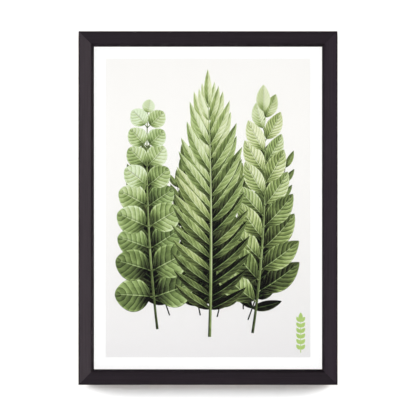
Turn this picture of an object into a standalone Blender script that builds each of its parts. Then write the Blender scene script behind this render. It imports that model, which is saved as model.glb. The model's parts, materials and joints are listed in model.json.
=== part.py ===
# Framed print: an A3 picture behind glazing in a mitred black moulding.
# Metres, +Z up, +X to the viewer's right, the picture faces -Y.
# The origin is the hanging point: the apex of the hanger's middle notch,
# on the plane of the wall, which is y = 0.

import math

import bmesh
import bpy
from mathutils import Matrix, Vector

# Driving sizes of the frame
OPENING_WIDTH = 0.297
OPENING_HEIGHT = 0.420
RAIL_WIDTH = 0.020
RAIL_DEPTH = 0.016
WALL_STANDOFF = 0.004
TOUCH_GAP = 0.0003

# What lies in the rebate, from the front to the back
GLAZING_THICKNESS = 0.002
PRINT_THICKNESS = 0.0003
PRINT_GAP = 0.0004
FILLER_THICKNESS = 0.002
BOARD_THICKNESS = 0.003
LIP_OVERLAP = 0.004
EDGE_PLAY = 0.0005

# The moulding's section
FACE_SLOPE = math.radians(2.5)
OUTER_RADIUS = 0.0012
BACK_RADIUS = 0.0005
ROLL_WIDTH = 0.0035
ROLL_DROP = 0.0011
SIGHT_RADIUS = 0.0003

# Corner fasteners
FASTENER_LEG = 0.005
FASTENER_THICKNESS = 0.0006
FASTENER_HEIGHT = 0.007
FASTENER_INSETS = (0.005, 0.0105)

# Turn buttons and their screws
PIVOT_INSET = 0.0085
PIVOT_SPREAD = 0.27
BLADE_THICKNESS = 0.0012
BLADE_ROUND = 0.0058
BLADE_TIP_ROUND = 0.0036
BLADE_REACH = 0.0185
SCREW_SHANK_RADIUS = 0.0015
SCREW_LENGTH = 0.0105
SCREW_HEAD_RADIUS = 0.0034
SCREW_HEAD_HEIGHT = 0.0016
RECESS_LENGTH = 0.0036
RECESS_WIDTH = 0.0008
RECESS_DEPTH = 0.0009
SCREW_RIM_SHARE = 0.3
SCREW_POINT_LENGTH = 0.003
SCREW_POINT_RADIUS = 0.0003

# Sawtooth hanger and its nails
HANGER_LENGTH = 0.046
HANGER_HEIGHT = 0.009
HANGER_THICKNESS = 0.0009
HANGER_RISE = 0.0016
HANGER_TOP_INSET = 0.0035
HANGER_CORNER = 0.002
TOOTH_PITCH = 0.003
TOOTH_DEPTH = 0.002
NOTCH_COUNT = 7
BEND_INNER = 0.013
BEND_OUTER = 0.0155
NAIL_SPREAD = 0.019
NAIL_RADIUS = 0.0008
NAIL_LENGTH = 0.009
NAIL_HEAD_RADIUS = 0.0018
NAIL_HEAD_HEIGHT = 0.0007
NAIL_POINT_LENGTH = 0.0015

# Bumpers
BUMPER_RADIUS = 0.0055
BUMPER_EDGE = 0.0012
BUMPER_INSET = 0.0085

# Worked out from the sizes above
OUTER_WIDTH = OPENING_WIDTH + 2 * RAIL_WIDTH
OUTER_HEIGHT = OPENING_HEIGHT + 2 * RAIL_WIDTH
NOTCH_DROP = HANGER_TOP_INSET + HANGER_HEIGHT - TOOTH_DEPTH
TOP_Z = NOTCH_DROP
CENTRE_Z = TOP_Z - OUTER_HEIGHT / 2
BACK_Y = -WALL_STANDOFF
BOARD_WIDTH = OPENING_WIDTH + 2 * (LIP_OVERLAP - EDGE_PLAY)
BOARD_HEIGHT = OPENING_HEIGHT + 2 * (LIP_OVERLAP - EDGE_PLAY)
REBATE_DEPTH = (
    BOARD_THICKNESS + FILLER_THICKNESS + PRINT_THICKNESS + PRINT_GAP
    + GLAZING_THICKNESS + 3 * TOUCH_GAP
)

# Fineness of the shapes
CIRCLE_STEPS = 24
WELD_DISTANCE = 0.00001
PLANE_DISTANCE = 0.0000001
SHARP_ANGLE = math.radians(35)


def clear_scene():
    for item in list(bpy.data.objects):
        bpy.data.objects.remove(item, do_unlink=True)


def new_collection(name):
    collection = bpy.data.collections.new(name)
    bpy.context.scene.collection.children.link(collection)
    return collection


def new_material(name, colour, roughness, metallic=0.0, transmission=0.0):
    material = bpy.data.materials.new(name)
    material.use_nodes = True
    shader = material.node_tree.nodes["Principled BSDF"]
    shader.inputs["Base Color"].default_value = (*colour, 1.0)
    shader.inputs["Roughness"].default_value = roughness
    shader.inputs["Metallic"].default_value = metallic
    shader.inputs["Transmission Weight"].default_value = transmission
    material.diffuse_color = (*colour, 1.0)
    return material


def place(name, mesh, collection, material=None, location=(0, 0, 0), turn=0.0):
    """Put a mesh in the scene, turned about the Y axis."""
    item = bpy.data.objects.new(name, mesh)
    item.location = location
    item.rotation_euler = (0.0, turn, 0.0)
    if material and not mesh.materials:
        mesh.materials.append(material)
    collection.objects.link(item)
    return item


def mark_cutter(item):
    item.hide_render = True
    item.display_type = "WIRE"


def arc(centre, radius, start, end, steps):
    """Points on an arc, by angles in degrees."""
    points = []
    for step in range(steps + 1):
        angle = math.radians(start + (end - start) * step / steps)
        points.append((
            centre[0] + radius * math.cos(angle),
            centre[1] + radius * math.sin(angle),
        ))
    return points


def circle(centre, radius):
    return arc(centre, radius, 0, 360, CIRCLE_STEPS)[:-1]


def weld(mesh):
    """Join a curve's loose caps to its sides."""
    work = bmesh.new()
    work.from_mesh(mesh)
    bmesh.ops.remove_doubles(work, verts=work.verts, dist=WELD_DISTANCE)
    bmesh.ops.recalc_face_normals(work, faces=work.faces)
    work.to_mesh(mesh)
    work.free()


def evaluated_mesh(item, name):
    """The mesh that an object shows, with its modifiers applied."""
    bpy.context.view_layer.update()
    graph = bpy.context.evaluated_depsgraph_get()
    mesh = bpy.data.meshes.new_from_object(item.evaluated_get(graph))
    mesh.name = name
    return mesh


def extruded(name, loops, thickness, matrix):
    """A flat outline, with any holes, made a solid slab and turned by matrix."""
    curve = bpy.data.curves.new(name, "CURVE")
    curve.dimensions = "2D"
    curve.fill_mode = "BOTH"
    curve.extrude = thickness / 2
    for loop in loops:
        spline = curve.splines.new("POLY")
        spline.points.add(len(loop) - 1)
        for point, (across, along) in zip(spline.points, loop):
            point.co = (across, along, 0.0, 1.0)
        spline.use_cyclic_u = True
    item = bpy.data.objects.new(name, curve)
    bpy.context.scene.collection.objects.link(item)
    mesh = evaluated_mesh(item, name)
    bpy.data.objects.remove(item, do_unlink=True)
    bpy.data.curves.remove(curve)
    weld(mesh)
    mesh.transform(matrix)
    return mesh


def flat_on_wall(name, loops, thickness):
    """A slab that lies parallel to the wall, its outline in X and Z."""
    return extruded(name, loops, thickness, Matrix.Rotation(math.pi / 2, 4, "X"))


def turned(name, profile, steps=CIRCLE_STEPS):
    """A profile of (radius, y) points, outer side first, turned about the Y axis."""
    mesh = bpy.data.meshes.new(name)
    work = bmesh.new()
    verts = [work.verts.new((radius, 0.0, height)) for radius, height in profile]
    for first, second in zip(verts, verts[1:]):
        work.edges.new((first, second))
    work.to_mesh(mesh)
    work.free()
    item = bpy.data.objects.new(name, mesh)
    bpy.context.scene.collection.objects.link(item)
    screw = item.modifiers.new("Turn", "SCREW")
    screw.steps = steps
    screw.render_steps = steps
    screw.use_merge_vertices = True
    screw.merge_threshold = WELD_DISTANCE
    result = evaluated_mesh(item, name)
    bpy.data.objects.remove(item, do_unlink=True)
    bpy.data.meshes.remove(mesh)
    result.transform(Matrix.Rotation(-math.pi / 2, 4, "X"))
    result.shade_smooth()
    result.set_sharp_from_angle(angle=SHARP_ANGLE)
    return result


def box_mesh(name, size):
    mesh = bpy.data.meshes.new(name)
    work = bmesh.new()
    bmesh.ops.create_cube(work, size=1.0)
    bmesh.ops.scale(work, vec=size, verts=work.verts)
    work.to_mesh(mesh)
    work.free()
    return mesh


def cut(item, cutters):
    """Take each cutter out of an object with its own Boolean."""
    for cutter in cutters:
        boolean = item.modifiers.new(cutter.name, "BOOLEAN")
        boolean.operation = "DIFFERENCE"
        boolean.solver = "EXACT"
        boolean.object = cutter


# The moulding
def rail_section():
    """The moulding's section: across from the outer edge, and up from the back."""
    face_run = RAIL_WIDTH - OUTER_RADIUS - ROLL_WIDTH - SIGHT_RADIUS
    outer_top = RAIL_DEPTH - face_run * math.tan(FACE_SLOPE)
    roll_start = RAIL_WIDTH - ROLL_WIDTH - SIGHT_RADIUS
    roll_radius = (ROLL_WIDTH ** 2 + ROLL_DROP ** 2) / (2 * ROLL_DROP)
    roll_turn = math.degrees(math.asin(ROLL_WIDTH / roll_radius))
    sight_top = RAIL_DEPTH - ROLL_DROP
    points = arc((BACK_RADIUS, BACK_RADIUS), BACK_RADIUS, 270, 180, 2)
    points += arc((OUTER_RADIUS, outer_top - OUTER_RADIUS), OUTER_RADIUS, 180, 90, 6)
    points += arc((roll_start, RAIL_DEPTH - roll_radius), roll_radius,
                  90, 90 - roll_turn, 8)
    points += arc((RAIL_WIDTH - SIGHT_RADIUS, sight_top - SIGHT_RADIUS), SIGHT_RADIUS,
                  60, 0, 3)
    points += [
        (RAIL_WIDTH, REBATE_DEPTH),
        (RAIL_WIDTH - LIP_OVERLAP, REBATE_DEPTH),
        (RAIL_WIDTH - LIP_OVERLAP, 0.0),
    ]
    return points


def rail_mesh(name, length):
    """A rail along X, its outer back edge on the X axis, mitred at both ends."""
    along_x = Matrix(((0, 0, 1, 0), (0, -1, 0, 0), (1, 0, 0, 0), (0, 0, 0, 1)))
    mesh = extruded(name, [rail_section()], length, along_x)
    half_joint = TOUCH_GAP / math.sqrt(2)
    work = bmesh.new()
    work.from_mesh(mesh)
    for side in (1, -1):
        cut_result = bmesh.ops.bisect_plane(
            work, geom=work.verts[:] + work.edges[:] + work.faces[:], dist=PLANE_DISTANCE,
            plane_co=(side * (length / 2 - half_joint), 0, 0),
            plane_no=Vector((side, 0, 1)).normalized(), clear_outer=True,
        )
        rim = [item for item in cut_result["geom_cut"] if isinstance(item, bmesh.types.BMEdge)]
        bmesh.ops.edgeloop_fill(work, edges=rim)
    bmesh.ops.recalc_face_normals(work, faces=work.faces)
    work.to_mesh(mesh)
    work.free()
    return mesh


SIDES = {
    "bottom": (OUTER_WIDTH, (0, BACK_Y, CENTRE_Z - OUTER_HEIGHT / 2), 0.0),
    "right": (OUTER_HEIGHT, (OUTER_WIDTH / 2, BACK_Y, CENTRE_Z), -math.pi / 2),
    "top": (OUTER_WIDTH, (0, BACK_Y, CENTRE_Z + OUTER_HEIGHT / 2), math.pi),
    "left": (OUTER_HEIGHT, (-OUTER_WIDTH / 2, BACK_Y, CENTRE_Z), math.pi / 2),
}


def side_point(side, along, inset, depth=0.0):
    """A point on a rail's back: along it, in from its outer edge, out of its back."""
    _, location, turn = SIDES[side]
    return Vector(location) + Matrix.Rotation(turn, 3, "Y") @ Vector((along, depth, inset))


def pivots():
    """Every turn button's rail and its place along that rail."""
    for side, (length, _, _) in SIDES.items():
        for sign in (-1, 1):
            yield side, sign * length * PIVOT_SPREAD


def fastener_outline(grow):
    """A right-angled strip seen from behind, its corner at the origin."""
    half = FASTENER_THICKNESS / 2 + grow
    end = FASTENER_LEG + grow
    return [
        (-half, -half), (end, -half), (end, half), (half, half), (half, end), (-half, end),
    ]


def fastener_places():
    """Each corner fastener's place and the turn that aims its legs along the rails."""
    quarter = math.pi / 2
    for across, up, quarters in ((-1, -1, 0), (-1, 1, 1), (1, 1, 2), (1, -1, 3)):
        for inset in FASTENER_INSETS:
            x = across * (OUTER_WIDTH / 2 - inset)
            z = up * (OUTER_HEIGHT / 2 - inset) + CENTRE_Z
            yield x, z, quarters * quarter


def build_rails(parts, cutters, wood):
    tools = {side: [] for side in SIDES}
    slot = flat_on_wall("fastener_slot", [fastener_outline(TOUCH_GAP)],
                        2 * (FASTENER_HEIGHT + 2 * TOUCH_GAP))
    for number, (x, z, turn) in enumerate(fastener_places(), start=1):
        tool = place(f"slot_cutter_{number}", slot, cutters, None, (x, BACK_Y, z), turn)
        tools["left" if x < 0 else "right"].append(tool)
        tools["bottom" if z < CENTRE_Z else "top"].append(tool)
    pilot = cylinder_mesh("pilot", SCREW_SHANK_RADIUS + TOUCH_GAP,
                          2 * (SCREW_LENGTH + TOUCH_GAP))
    for number, (side, along) in enumerate(pivots(), start=1):
        tool = place(f"pilot_cutter_{number}", pilot, cutters, None,
                     side_point(side, along, PIVOT_INSET))
        tools[side].append(tool)
    nail_hole = cylinder_mesh("nail_hole", NAIL_RADIUS + TOUCH_GAP,
                              2 * (NAIL_LENGTH + TOUCH_GAP))
    for number, sign in enumerate((-1, 1), start=1):
        tool = place(f"nail_cutter_{number}", nail_hole, cutters, None,
                     (sign * NAIL_SPREAD, BACK_Y, hanger_nail_z()))
        tools["top"].append(tool)
    for side, (length, location, turn) in SIDES.items():
        mesh = rail_mesh(f"rail_{side}", length)
        rail = place(f"rail_{side}", mesh, parts, wood, location, turn)
        mesh.shade_smooth()
        mesh.set_sharp_from_angle(angle=SHARP_ANGLE)
        cut(rail, tools[side])
    for side in tools:
        for tool in tools[side]:
            mark_cutter(tool)


def cylinder_mesh(name, radius, length):
    """A cylinder along Y, centred on the origin."""
    mesh = bpy.data.meshes.new(name)
    work = bmesh.new()
    bmesh.ops.create_cone(
        work, cap_ends=True, segments=CIRCLE_STEPS, radius1=radius, radius2=radius,
        depth=length, matrix=Matrix.Rotation(math.pi / 2, 4, "X"),
    )
    work.to_mesh(mesh)
    work.free()
    return mesh


def build_fasteners(parts, steel):
    mesh = flat_on_wall("corner_fastener", [fastener_outline(0.0)], FASTENER_HEIGHT)
    middle = BACK_Y - TOUCH_GAP - FASTENER_HEIGHT / 2
    for number, (x, z, turn) in enumerate(fastener_places(), start=1):
        place(f"corner_fastener_{number}", mesh, parts, steel, (x, middle, z), turn)


# What the frame holds, from the back plane of the rails to the lip
def build_layers(parts, glass, paper, card, hardboard):
    back = BACK_Y
    layers = (
        ("backing_board", BOARD_THICKNESS, TOUCH_GAP, hardboard),
        ("filler_card", FILLER_THICKNESS, TOUCH_GAP, card),
        ("print_sheet", PRINT_THICKNESS, PRINT_GAP, paper),
        ("glazing", GLAZING_THICKNESS, TOUCH_GAP, glass),
    )
    for name, thickness, gap, material in layers:
        mesh = box_mesh(name, (BOARD_WIDTH, thickness, BOARD_HEIGHT))
        place(name, mesh, parts, material, (0, back - thickness / 2, CENTRE_Z))
        back -= thickness + gap


# Turn buttons
def blade_outline():
    """A tapering blade that points up from its round pivot end."""
    flare = math.degrees(math.asin((BLADE_ROUND - BLADE_TIP_ROUND) / BLADE_REACH))
    return (
        arc((0, 0), BLADE_ROUND, 180 - flare, 360 + flare, 16)
        + arc((0, BLADE_REACH), BLADE_TIP_ROUND, flare, 180 - flare, 10)
    )


def screw_mesh():
    """A pan-head wood screw, the underside of its head at the origin."""
    rim_height = SCREW_HEAD_HEIGHT * SCREW_RIM_SHARE
    crown_height = SCREW_HEAD_HEIGHT - rim_height
    crown = [
        (SCREW_HEAD_RADIUS * across, rim_height + crown_height * up)
        for across, up in arc((0, 0), 1.0, 90, 0, 5)
    ]
    tip = BLADE_THICKNESS + 2 * TOUCH_GAP + SCREW_LENGTH
    profile = [(0.0, SCREW_HEAD_HEIGHT)] + crown[1:] + [
        (SCREW_HEAD_RADIUS, 0.0),
        (SCREW_SHANK_RADIUS, 0.0),
        (SCREW_SHANK_RADIUS, SCREW_POINT_LENGTH - tip),
        (SCREW_POINT_RADIUS, -tip),
        (0.0, -tip),
    ]
    screw = bpy.data.objects.new("screw_master", turned("screw_body", profile))
    bpy.context.scene.collection.objects.link(screw)
    slot = box_mesh("recess", (RECESS_LENGTH, 2 * RECESS_DEPTH, RECESS_WIDTH))
    tools = [
        place(f"recess_cutter_{turn}", slot, bpy.context.scene.collection, None,
              (0, SCREW_HEAD_HEIGHT, 0), math.radians(turn))
        for turn in (0, 90)
    ]
    cut(screw, tools)
    mesh = evaluated_mesh(screw, "button_screw")
    for item in [screw] + tools:
        bpy.data.objects.remove(item, do_unlink=True)
    return mesh


def build_buttons(parts, zinc):
    hole = circle((0, 0), SCREW_SHANK_RADIUS + TOUCH_GAP)
    blade = flat_on_wall("turn_button", [blade_outline(), hole], BLADE_THICKNESS)
    screw = screw_mesh()
    lift = TOUCH_GAP + BLADE_THICKNESS / 2
    for number, (side, along) in enumerate(pivots(), start=1):
        turn = SIDES[side][2]
        place(f"turn_button_{number}", blade, parts, zinc,
              side_point(side, along, PIVOT_INSET, lift), turn)
        place(f"button_screw_{number}", screw, parts, zinc,
              side_point(side, along, PIVOT_INSET, BLADE_THICKNESS + 2 * TOUCH_GAP), turn)


# Hanger
def hanger_nail_z():
    return TOP_Z - HANGER_TOP_INSET - HANGER_HEIGHT / 2


def hanger_outline():
    """The strip seen from behind: round corners, and teeth along the lower edge."""
    half, drop, corner = HANGER_LENGTH / 2, HANGER_HEIGHT, HANGER_CORNER
    points = arc((half - corner, -corner), corner, 90, 0, 4)
    points += arc((half - corner, -drop + corner), corner, 0, -90, 4)
    reach = (NOTCH_COUNT - 1) / 2
    for index in range(NOTCH_COUNT):
        middle = (reach - index) * TOOTH_PITCH
        points += [(middle + TOOTH_PITCH / 2, -drop), (middle, -drop + TOOTH_DEPTH)]
    points.append((-(reach + 0.5) * TOOTH_PITCH, -drop))
    points += arc((-half + corner, -drop + corner), corner, -90, -180, 4)
    points += arc((-half + corner, -corner), corner, 180, 90, 4)
    return points


def build_hanger(parts, steel):
    holes = [
        circle((sign * NAIL_SPREAD, -HANGER_HEIGHT / 2), NAIL_RADIUS + TOUCH_GAP)
        for sign in (-1, 1)
    ]
    mesh = flat_on_wall("sawtooth_hanger", [hanger_outline()] + holes, HANGER_THICKNESS)
    work = bmesh.new()
    work.from_mesh(mesh)
    for bend in (-BEND_OUTER, -BEND_INNER, BEND_INNER, BEND_OUTER):
        bmesh.ops.bisect_plane(
            work, geom=work.verts[:] + work.edges[:] + work.faces[:], dist=PLANE_DISTANCE,
            plane_co=(bend, 0, 0), plane_no=(1, 0, 0),
        )
    raised = [vert for vert in work.verts if abs(vert.co.x) < BEND_INNER + TOUCH_GAP]
    bmesh.ops.translate(work, vec=(0, HANGER_RISE, 0), verts=raised)
    work.to_mesh(mesh)
    work.free()
    place("sawtooth_hanger", mesh, parts, steel,
          (0, BACK_Y + TOUCH_GAP + HANGER_THICKNESS / 2, TOP_Z - HANGER_TOP_INSET))
    shank_end = NAIL_LENGTH + HANGER_THICKNESS + 2 * TOUCH_GAP
    nail = turned("hanger_nail", [
        (0.0, NAIL_HEAD_HEIGHT),
        (NAIL_HEAD_RADIUS * 2 / 3, NAIL_HEAD_HEIGHT * 4 / 5),
        (NAIL_HEAD_RADIUS, NAIL_HEAD_HEIGHT / 3),
        (NAIL_HEAD_RADIUS, 0.0),
        (NAIL_RADIUS, 0.0),
        (NAIL_RADIUS, NAIL_POINT_LENGTH - shank_end),
        (0.0, -shank_end),
    ])
    for name, sign in (("hanger_nail_left", -1), ("hanger_nail_right", 1)):
        place(name, nail, parts, steel,
              (sign * NAIL_SPREAD, BACK_Y + HANGER_THICKNESS + 2 * TOUCH_GAP, hanger_nail_z()))


# Bumpers
def build_bumpers(parts, rubber):
    height = WALL_STANDOFF - TOUCH_GAP
    crown = [
        (BUMPER_RADIUS - BUMPER_EDGE + across, height - BUMPER_EDGE + up)
        for across, up in arc((0, 0), BUMPER_EDGE, 90, 0, 5)
    ]
    pad = turned("bumper", [(0.0, height)] + crown + [(BUMPER_RADIUS, 0.0), (0.0, 0.0)])
    for name, sign in (("bumper_left", -1), ("bumper_right", 1)):
        place(name, pad, parts, rubber, (
            sign * (OUTER_WIDTH / 2 - 2 * BUMPER_INSET - BUMPER_RADIUS), BACK_Y + TOUCH_GAP,
            CENTRE_Z - OUTER_HEIGHT / 2 + BUMPER_INSET,
        ))


def main():
    clear_scene()
    parts = new_collection("framed_print")
    cutters = new_collection("cutters")
    wood = new_material("black_stained_wood", (0.028, 0.023, 0.027), 0.42)
    glass = new_material("clear_glazing", (0.95, 0.97, 0.96), 0.03, 0.0, 1.0)
    paper = new_material("poster_paper", (0.93, 0.93, 0.91), 0.75)
    card = new_material("grey_card", (0.45, 0.44, 0.41), 0.9)
    hardboard = new_material("hardboard", (0.30, 0.19, 0.11), 0.8)
    zinc = new_material("zinc_plated_steel", (0.62, 0.62, 0.60), 0.35, 1.0)
    steel = new_material("blued_steel", (0.34, 0.35, 0.37), 0.4, 1.0)
    rubber = new_material("bumper_rubber", (0.03, 0.03, 0.03), 0.7)
    build_rails(parts, cutters, wood)
    build_fasteners(parts, steel)
    build_layers(parts, glass, paper, card, hardboard)
    build_buttons(parts, zinc)
    build_hanger(parts, steel)
    build_bumpers(parts, rubber)


main()
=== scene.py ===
import json
import math
import random

import bmesh
import bpy
from mathutils import Matrix, Vector

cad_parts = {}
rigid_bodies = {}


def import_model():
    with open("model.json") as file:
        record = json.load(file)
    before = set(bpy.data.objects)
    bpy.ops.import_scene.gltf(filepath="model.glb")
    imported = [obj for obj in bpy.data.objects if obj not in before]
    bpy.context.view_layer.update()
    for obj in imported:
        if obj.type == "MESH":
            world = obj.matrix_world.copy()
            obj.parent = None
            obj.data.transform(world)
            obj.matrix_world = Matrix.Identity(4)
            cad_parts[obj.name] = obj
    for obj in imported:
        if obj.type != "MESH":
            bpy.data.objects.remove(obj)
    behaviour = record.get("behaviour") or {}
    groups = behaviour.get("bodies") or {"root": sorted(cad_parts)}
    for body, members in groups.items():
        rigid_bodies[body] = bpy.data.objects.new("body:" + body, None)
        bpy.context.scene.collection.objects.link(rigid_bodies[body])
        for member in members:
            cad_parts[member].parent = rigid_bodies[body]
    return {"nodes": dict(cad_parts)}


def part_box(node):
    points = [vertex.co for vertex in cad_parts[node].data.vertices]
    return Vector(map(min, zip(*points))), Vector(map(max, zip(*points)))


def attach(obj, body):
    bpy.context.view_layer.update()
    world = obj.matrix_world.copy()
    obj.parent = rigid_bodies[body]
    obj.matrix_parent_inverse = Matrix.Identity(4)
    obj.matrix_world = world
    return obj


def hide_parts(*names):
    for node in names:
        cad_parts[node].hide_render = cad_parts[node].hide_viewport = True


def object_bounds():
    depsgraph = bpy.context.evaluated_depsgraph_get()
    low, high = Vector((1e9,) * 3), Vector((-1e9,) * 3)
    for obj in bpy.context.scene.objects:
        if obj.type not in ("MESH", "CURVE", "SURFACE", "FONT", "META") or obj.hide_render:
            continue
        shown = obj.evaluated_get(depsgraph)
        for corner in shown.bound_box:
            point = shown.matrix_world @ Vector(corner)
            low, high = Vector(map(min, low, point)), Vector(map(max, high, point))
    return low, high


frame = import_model()
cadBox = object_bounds()
print("frame loaded")

# Framed botanical print on a white wall: the looks.
# Metres, z up, the picture faces -y and the wall is at y = 0.

frontLow, backHigh = cadBox
centreX = (frontLow.x + backHigh.x) / 2
centreZ = (frontLow.z + backHigh.z) / 2
frontY = frontLow.y
wallY = backHigh.y
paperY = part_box("print_sheet")[0].y
sides = ("top", "bottom", "left", "right")
buttonCount = sum(name.startswith("turn_button_") for name in frame["nodes"])
fastenerCount = sum(name.startswith("corner_fastener_") for name in frame["nodes"])


# Small helpers for meshes
def finishMesh(work, name, smoothAngle=None, broadFace=None):
    mesh = bpy.data.meshes.new(name)
    work.to_mesh(mesh)
    work.free()
    if smoothAngle is not None:
        mesh.shade_smooth()
        mesh.set_sharp_from_angle(angle=math.radians(smoothAngle))
    if broadFace is not None:  # broad faces stay flat, so that only the rolled edges are smooth
        for face in mesh.polygons:
            face.use_smooth = face.area < broadFace
    piece = bpy.data.objects.new(name, mesh)
    bpy.context.scene.collection.objects.link(piece)
    return piece


def dress(piece, body, slot, *materials):
    for material in materials:
        piece.data.materials.append(material)
    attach(piece, body)


# A copy of a CAD solid with its loose triangles joined.
def copyOfNode(nodeName, weld=0.000005):
    work = bmesh.new()
    work.from_mesh(frame["nodes"][nodeName].data)
    bmesh.ops.remove_doubles(work, verts=work.verts, dist=weld)
    return work


# Small helpers for node trees
def addNode(tree, kind, values=None, **settings):
    made = tree.nodes.new(kind)
    for name, value in settings.items():
        setattr(made, name, value)
    for name, value in (values or {}).items():
        plug(tree, made.inputs[name], value)
    return made


def plug(tree, socket, value):
    if isinstance(value, bpy.types.NodeSocket):
        tree.links.new(value, socket)
    else:
        socket.default_value = value


def calc(tree, operation, *values, clamp=False):
    made = addNode(tree, "ShaderNodeMath", operation=operation, use_clamp=clamp)
    for socket, value in zip(made.inputs, values):
        plug(tree, socket, value)
    return made.outputs[0]


def remap(tree, value, low, high, toLow=0.0, toHigh=1.0, smooth=False):
    made = addNode(tree, "ShaderNodeMapRange", {
        "Value": value, "From Min": low, "From Max": high, "To Min": toLow, "To Max": toHigh,
    })
    made.interpolation_type = "SMOOTHSTEP" if smooth else "LINEAR"
    return made.outputs[0]


def blendColor(tree, factor, first, second, mode="MIX"):
    made = addNode(tree, "ShaderNodeMix", data_type="RGBA", blend_type=mode)
    plug(tree, made.inputs[0], factor)
    for socket, value in ((made.inputs[6], first), (made.inputs[7], second)):
        plug(tree, socket, value if isinstance(value, bpy.types.NodeSocket) else (*value, 1.0))
    return made.outputs[2]


def ramp(tree, factor, stops):
    made = addNode(tree, "ShaderNodeValToRGB", {"Fac": factor})
    spots = made.color_ramp.elements
    while len(spots) < len(stops):
        spots.new(0.5)
    for spot, (place, color) in zip(spots, stops):
        spot.position = place
        spot.color = (*color, 1.0)
    return made.outputs[0]


noiseSpan = (0.3, 0.7)  # where most values of a noise lie


def noise(tree, vector, scale, detail=3.0, roughness=0.5):
    return addNode(tree, "ShaderNodeTexNoise", {
        "Vector": vector, "Scale": scale, "Detail": detail, "Roughness": roughness,
    }).outputs["Fac"]


def stretched(tree, vector, scale=(1, 1, 1), location=(0, 0, 0), rotation=(0, 0, 0)):
    return addNode(tree, "ShaderNodeMapping", {
        "Vector": vector, "Scale": scale, "Location": location, "Rotation": rotation,
    }).outputs[0]


def bump(tree, height, strength, distance):
    return addNode(tree, "ShaderNodeBump", {
        "Height": height, "Strength": strength, "Distance": distance,
    }).outputs[0]


# A material with its Principled shader, and the object's own coordinates.
def newMaterial(name, **values):
    material = bpy.data.materials.new(name)
    material.use_nodes = True
    tree = material.node_tree
    shader = tree.nodes["Principled BSDF"]
    for socket, value in values.items():
        shader.inputs[socket.replace("_", " ")].default_value = value
    place = addNode(tree, "ShaderNodeTexCoord").outputs["Object"]
    return material, tree, shader, place


def newGroup(name, inputs, outputs):
    group = bpy.data.node_groups.new(name, "ShaderNodeTree")
    for label, kind, value in inputs:
        socket = group.interface.new_socket(label, in_out="INPUT", socket_type=kind)
        if value is not None:
            socket.default_value = value
    for label, kind in outputs:
        group.interface.new_socket(label, in_out="OUTPUT", socket_type=kind)
    return group, addNode(group, "NodeGroupInput").outputs, addNode(group, "NodeGroupOutput").inputs


def useGroup(tree, group, **values):
    made = addNode(tree, "ShaderNodeGroup", node_tree=group)
    for name, value in values.items():
        plug(tree, made.inputs[name.replace("_", " ")], value)
    return made.outputs


# Effects shared by several materials
# Long fibres: fine streaks along the stretched axis, and slow tone changes.
def makeFineGrain():
    group, given, out = newGroup(
        "fineGrain",
        [("Vector", "NodeSocketVector", None), ("Fineness", "NodeSocketFloat", 1.0)],
        [("Streaks", "NodeSocketFloat"), ("Drift", "NodeSocketFloat")],
    )
    streaks = noise(group, given["Vector"], given["Fineness"], 5.0, 0.65)
    drift = noise(group, given["Vector"], calc(group, "MULTIPLY", given["Fineness"], 0.07), 2.0)
    plug(group, out["Streaks"], streaks)
    plug(group, out["Drift"], drift)
    return group


# Small irregular flecks, as a mask from 0 to 1.
def makeSpeckle():
    group, given, out = newGroup(
        "speckle",
        [("Vector", "NodeSocketVector", None), ("Scale", "NodeSocketFloat", 900.0),
         ("Amount", "NodeSocketFloat", 0.5)],
        [("Flecks", "NodeSocketFloat")],
    )
    grain = noise(group, given["Vector"], given["Scale"], 2.0, 0.6)
    low = calc(group, "SUBTRACT", 0.95, calc(group, "MULTIPLY", given["Amount"], 0.5))
    plug(group, out["Flecks"], remap(group, grain, calc(group, "SUBTRACT", low, 0.12), low))
    return group


# Where a surface turns from one main direction to another, broken up by noise.
def makeEdgeWear():
    group, given, out = newGroup(
        "edgeWear",
        [("Vector", "NodeSocketVector", None), ("Normal", "NodeSocketVector", None),
         ("Scale", "NodeSocketFloat", 300.0)],
        [("Wear", "NodeSocketFloat")],
    )
    parts = addNode(group, "ShaderNodeSeparateXYZ", {"Vector": given["Normal"]}).outputs
    sizes = [calc(group, "ABSOLUTE", part) for part in parts]
    main = calc(group, "MAXIMUM", calc(group, "MAXIMUM", sizes[0], sizes[1]), sizes[2])
    turned = remap(group, main, 0.97, 0.75)
    worn = remap(group, noise(group, given["Vector"], given["Scale"], 4.0, 0.7), 0.5, 0.72)
    plug(group, out["Wear"], calc(group, "MULTIPLY", turned, worn))
    return group


fineGrain = makeFineGrain()
speckle = makeSpeckle()
edgeWear = makeEdgeWear()
print("effects made")


# The moulding's stain, with painted shade: each rail's tone is set lighter or darker by how the
# light falls on it, and its edges are darkened
stainAndPaintedShade = {
    "along": {"top": "x", "bottom": "x", "left": "z", "right": "z"},
    # painted light: the near-black stain is given a different tone on each rail, left lightest and
    # bottom darkest, standing in for how the light falls
    "tone": {
        "left": (0.0628, 0.0490, 0.0575),
        "right": (0.0410, 0.0291, 0.0402),
        "top": (0.0266, 0.0186, 0.0258),
        "bottom": (0.0236, 0.0166, 0.0230),
    },
    "streakScale": 1500.0,
    "stretch": 0.012,
    "contrast": 0.20,
    "drift": 0.06,
    "roughness": 0.46,
    "gloss": 0.2,
    "relief": 0.07,
    "wornTone": (0.055, 0.044, 0.042),
    "wornShare": 0.16,
    # painted shade: widths of the dark line along each rail's outer front edge and along its sight
    # edge, and that line's colour
    "paintedOuterShadeWidth": {"top": 0.0018, "bottom": 0.0016, "left": 0.0014, "right": 0.0018},
    "paintedSightShade": 0.0009,
    "lineDepth": 0.0009,
    "paintedEdgeShadeTone": (0.006, 0.005, 0.006),
    "rollWidth": 0.0050,
    # painted shade: how far each rail's face is darkened where it rolls down to the sight edge, a
    # different amount on each side
    "paintedRollShade": {"top": 0.75, "bottom": 0.95, "left": 1.0, "right": 0.50},
}


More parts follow.
